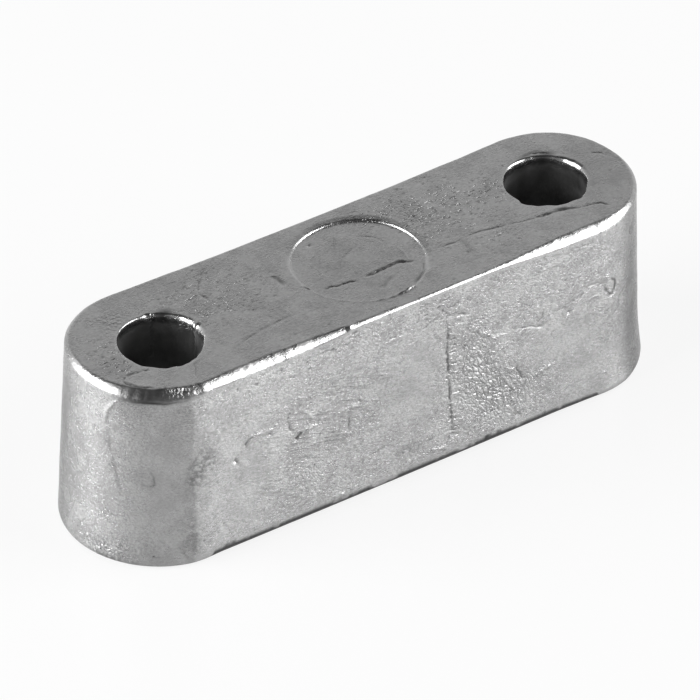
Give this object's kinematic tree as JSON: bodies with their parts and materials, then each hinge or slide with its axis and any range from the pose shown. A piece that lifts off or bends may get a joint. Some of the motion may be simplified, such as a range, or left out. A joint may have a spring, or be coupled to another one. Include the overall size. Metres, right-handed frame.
{
  "type": "sacrificial anode",
  "caption": "Cast zinc block with round ends and drafted sides that bolts flat to a hull or bracket and corrodes in its place.",
  "frame": {"origin": "centre of the flat mounting face, midway between the bolt holes", "axes": "+X along the block from one bolt hole to the other, +Y across it, +Z out of the surface that it is bolted to"},
  "size_m": [0.0712, 0.0212, 0.0224],
  "materials": {
    "cast_zinc": "as-cast zinc alloy, bright, with flow marks and small pits"
  },
  "bodies": {
    "root": {"anode_block": "cast_zinc"}
  },
  "joints": []
}
